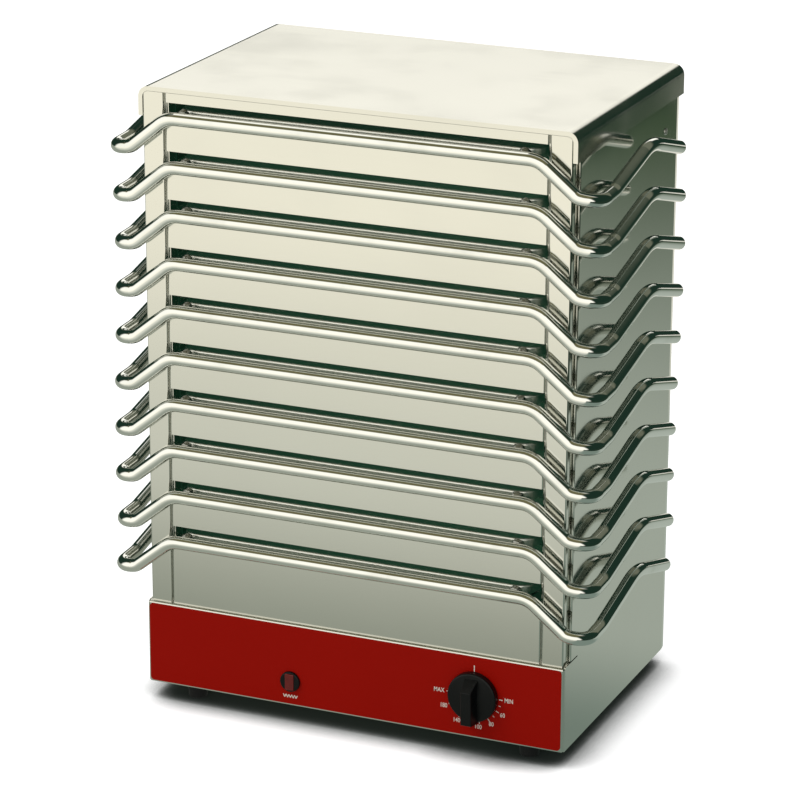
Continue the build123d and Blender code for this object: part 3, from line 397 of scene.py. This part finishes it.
# %% Figures
def printed_text(word, x, z, height):
    """A word of ink centred on a point of the panel, narrowed and slightly heavy."""
    curve = bpy.data.curves.new(f"type_{word}", "FONT")
    curve.body, curve.size = word, height / 0.72
    curve.align_x, curve.align_y = "CENTER", "CENTER"
    curve.extrude, curve.offset = INK / 2, 0.018 * height
    curve.resolution_u = 4
    sample = bpy.data.objects.new(f"type_{word}", curve)
    mesh = bpy.data.meshes.new_from_object(sample)
    bpy.data.objects.remove(sample)
    narrow = Matrix.Diagonal((0.80, 1, 1, 1))
    upright = Matrix.Rotation(math.pi / 2, 4, "X")
    mesh.transform(Matrix.Translation((x, FACE_Y - INK / 2, z)) @ upright @ narrow)
    finish_piece(f"dial_{word}", mesh, ink, "cabinet")


figures = {"MIN": (27.2, 90), "60": (25.4, 118), "80": (24.6, 146), "100": (24.4, 172),
           "140": (25.6, 212), "180": (26.6, 244), "MAX": (27.6, 270)}
for word, (radius, angle) in figures.items():
    printed_text(word, *dial_point(radius * MM, angle), 3.5 * MM)
print("dial:", len(ticks), "ticks and", len(figures), "words")

# %% [markdown]
# Under the pilot lamp is the usual sign for heating: a short zigzag, one unbroken stroke.

# %% Heating sign
lamp_low, lamp_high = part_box("pilot_bezel")
LAMP_X = (lamp_low.x + lamp_high.x) / 2
SIGN_Z = panel_low.z + 6.2 * MM
TEETH = 5
corner = np.arange(2 * TEETH + 1)
sign = np.stack([LAMP_X - 0.2 * MM + (corner / (2 * TEETH) - 0.5) * 11.6 * MM,
                 SIGN_Z + np.where(corner % 2, -1.15, 1.15) * MM], axis=1)
zigzag = np.concatenate([np.linspace(a, b, 6, endpoint=False) for a, b in zip(sign, sign[1:])]
                        + [sign[-1:]])
skin("heating_sign", stroke(zigzag, 0.75 * MM), ink, "cabinet", smooth=False)

# %% [markdown]
# ## Weld beads
#
# Each plate hangs on two studs that are welded to its rail. A weld is a frozen puddle:
# round in outline, rippled in rings where the metal froze in steps, never twice the same.
# The bead is a sphere whose radius swells with rings and a little noise from sines.

# %% Beads
def weld_bead(centre, radius, seed):
    """A bead on a grid of latitude and longitude: radius times 1 plus rings along the stud
    and a few waves round it, flattened a little along the stud."""
    tall = np.linspace(0.02, math.pi - 0.02, 18)[:, None]
    round_ = np.linspace(0, 2 * math.pi, 28, endpoint=False)[None, :]
    swell = (1 + 0.045 * np.cos(9 * tall + 0.4 * np.sin(2 * round_ + seed))
             + 0.05 * np.sin(3 * round_ + 1.7 * seed) * np.sin(tall)
             + 0.035 * np.cos(5 * round_ - seed) * np.sin(2 * tall))
    r = radius * swell
    x = r * np.sin(tall) * np.cos(round_)
    z = r * np.sin(tall) * np.sin(round_)
    y = 0.86 * r * np.cos(tall)
    return np.stack([centre[0] + x, centre[1] + y, centre[2] + z], axis=-1)


STUD_INSET = 9.0 * MM     # the stud's axis inside the plate's side edge
BEAD_AHEAD = 6.0 * MM     # the bead's middle ahead of the plate's front edge
BEAD_RISE = 1.2 * MM      # and above the plate's middle
BEAD_RADIUS = 4.6 * MM
weld_metal = small_metal("weld metal", (0.40, 0.41, 0.38), 0.16)
beads = 0
for number in range(1, 11):
    low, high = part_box(f"warming_plate_{number:02d}")
    middle = (low.z + high.z) / 2
    for side, x in (("left", low.x + STUD_INSET), ("right", high.x - STUD_INSET)):
        place = (x, low.y - BEAD_AHEAD, middle + BEAD_RISE)
        bead = weld_bead(place, BEAD_RADIUS, number + (side == "left"))
        skin(f"weld_bead_{number:02d}_{side}", bead, weld_metal, f"plate_{number:02d}")
        beads += 1
print("weld beads:", beads)

# %% [markdown]
# ## Studio
#
# The backdrop is white, but polished steel shows what stands beside the camera, so the
# paper that the camera sees and the ground that the metal mirrors are two sheets. The paper
# is lifted to white by a glow. Ambient occlusion, which measures how much open sky a point
# has within a few centimetres, takes both glow and paper away under the base: that is the
# dark, tight shadow the cabinet stands on.

# %% Floor
PAPER, CONTACT = (0.58, 0.58, 0.58), (0.06, 0.07, 0.065)
PAPER_GLOW = 0.9
SHADOW_REACH = 0.045      # metres


def ground(name, size, height):
    """A level square sheet of the studio."""
    mesh = bpy.data.meshes.new(name)
    half = size / 2
    mesh.from_pydata([(-half, -half, height), (half, -half, height), (half, half, height),
                      (-half, half, height)], [], [(0, 1, 2, 3)])
    sheet = bpy.data.objects.new(name, mesh)
    bpy.context.scene.collection.objects.link(sheet)
    return sheet


floor = ground("floor", 40.0, 0.0)
paper, f = new_material("floor paper")
open_sky = f.node("ShaderNodeAmbientOcclusion", {"samples": 16}, {"Distance": SHADOW_REACH},
                  output="AO")
matt = f.node("ShaderNodeBsdfDiffuse", {}, {
    "Color": f.mix(CONTACT, PAPER, open_sky.between(0.25, 0.95))})
glow = f.node("ShaderNodeEmission", {}, {"Color": (1, 1, 1, 1), "Strength":
              f.ray("Camera") * open_sky.between(0.40, 0.92) * PAPER_GLOW})
f.node("ShaderNodeOutputMaterial", {}, [f.node("ShaderNodeAddShader", {}, [matt, glow])])
floor.data.materials.append(paper)
floor.visible_glossy = False
print("floor: white paper, with a shadow that reaches", SHADOW_REACH, "m")

# %% [markdown]
# The mirrored ground is a card that only reflections see. In front it is bright and greys
# towards the cabinet, which gives the front sheet its fall from cream to grey. Beside the
# cabinet it is grey at the wall's foot and darkens to olive green with distance, which is
# what the side wall shows from bottom to top. Behind it is light for the rear edges.

# %% Reflecting ground
card = ground("reflecting_ground", 12.0, -0.002)
for ray in ("camera", "diffuse", "shadow", "transmission"):
    setattr(card, f"visible_{ray}", False)
shade, f = new_material("reflecting ground")
x, y, z = f.axes(f.place())
ahead = 0.0 - y
front = f.mix((0.36, 0.39, 0.33), (0.79, 0.80, 0.71), ahead.between(0.20, 0.65))
front = f.mix(front, (1.27, 1.22, 1.06), ahead.between(0.50, 1.50))
beside = f.mix((0.22, 0.28, 0.24), (0.45, 0.50, 0.44), y.between(-0.05, 0.17))
beside = f.mix(beside, (0.060, 0.095, 0.052), y.between(0.35, 1.85))
beside = f.mix(beside, (0.020, 0.040, 0.026), x.between(0.745, 0.79))
past_the_wall = (x - 0.427 * y).between(-0.22, -0.08)
beside = f.mix((0.80, 0.79, 0.70), beside, past_the_wall)
share = (x + 0.6 * y).between(-0.05, 0.10)
glow = f.node("ShaderNodeEmission", {}, {"Color": f.mix(front, beside, share), "Strength": 1.0})
f.node("ShaderNodeOutputMaterial", {}, [glow])
card.data.materials.append(shade)
print("reflecting ground: bright in front, olive green beside")

# %% [markdown]
# Above the ground the metal sees the sky of the studio: cream screens in front, with a
# dark gap high up between them, which is the thin dark line along every rail. Behind is a
# green dark room with two more screens: the hood mirrors the low one and the rails' upper
# edges the high one. A dim olive band at the back of the room gives the highest arms their
# lighter sides. All of it is worked out from the direction of the ray: x is right, y is
# away from the camera's side and z is up.

# %% World
CREAM, DUSK = (1.29, 1.26, 1.16), (0.17, 0.16, 0.08)
OLIVE, GREEN = (0.17, 0.18, 0.13), (0.014, 0.034, 0.023)
SOFT_GREY, WHITE = (0.42, 0.42, 0.42), (1.0, 1.0, 1.0)
world = bpy.data.worlds.new("studio")
bpy.context.scene.world = world
world.use_nodes = True
f = Finish(world.node_tree)
x, y, z = f.axes(f.node("ShaderNodeTexCoord", output="Generated"))
left = 0.0 - x

gap = z.between(0.58, 0.70) * (1.0 - y.between(-0.15, 0.15))
front = f.mix(CREAM, DUSK, gap)
front = f.mix(front, GREEN, x.between(0.30, 0.62) * (y + 0.75).between(0.0, 0.2))
front = f.mix(front, GREEN, left.between(0.46, 0.66) * y.between(-0.35, -0.05))

band = (y + 0.25 * z).between(0.835, 0.905) * (1.0 - y.between(0.84, 0.90))
room = f.mix(GREEN, OLIVE, band * z.between(0.05, 0.25))
low_screen = z.between(0.15, 0.21) * (1.0 - z.between(0.40, 0.48))
high_screen = left.between(0.22, 0.31) * z.between(0.57, 0.63) * (1.0 - y.between(0.55, 0.66))
between_sides = (x + 0.52).between(0.0, 0.05) * (1.0 - x.between(-0.06, 0.08))
room = f.mix(room, CREAM, (low_screen + high_screen) * between_sides)

sky = f.mix(front, room, y.between(0.0, 0.2))
ambient = f.mix(SOFT_GREY, sky, f.ray("Glossy"))
f.node("ShaderNodeOutputWorld", {}, [f.node("ShaderNodeBackground", {}, {
    "Color": f.mix(ambient, WHITE, f.ray("Camera")), "Strength": 1.0})])
print("world:", len(world.node_tree.nodes), "nodes")

# %% [markdown]
# Two soft lamps give the cabinet its shape and its shadow: a large one above on the left,
# and a weaker one low in front so that the red panel reads as it is painted.

# %% Lamps
def softbox(name, place, aim, size, power):
    """A square area lamp turned towards a point."""
    lamp = bpy.data.lights.new(name, "AREA")
    lamp.size, lamp.energy = size, power
    stand = bpy.data.objects.new(name, lamp)
    bpy.context.scene.collection.objects.link(stand)
    turn = (Vector(place) - Vector(aim)).to_track_quat("Z", "Y").to_matrix().to_4x4()
    stand.matrix_world = Matrix.Translation(place) @ turn
    stand.visible_glossy = False


CHEST = (0, 0, 0.2)       # what both lamps are turned to
softbox("key", place=(-1.4, -1.3, 2.6), aim=CHEST, size=1.6, power=40)
softbox("front fill", place=(0.5, -3.0, 1.0), aim=CHEST, size=1.8, power=14)
print("lamps:", len(bpy.data.lights))

# %% [markdown]
# ## Camera
#
# The portrait is taken from far away with a long lens, from the right and a little above.
# The camera's place and turns come from fitting the cabinet's corners.

# %% Camera
view = bpy.data.cameras.new("portrait")
view.lens, view.sensor_width = 162.0, 36.0
view.clip_end = 100.0
camera = bpy.data.objects.new("portrait", view)
bpy.context.scene.collection.objects.link(camera)
yaw, pitch, roll = (math.radians(a) for a in (23.15, 18.60, 0.25))
camera.matrix_world = (Matrix.Translation((0.9969, -2.3555, 1.0861))
                       @ Matrix.Rotation(yaw, 4, "Z")
                       @ Matrix.Rotation(math.pi / 2 - pitch, 4, "X")
                       @ Matrix.Rotation(roll, 4, "Z"))
bpy.context.scene.camera = camera
bpy.context.scene.view_settings.view_transform = "Standard"
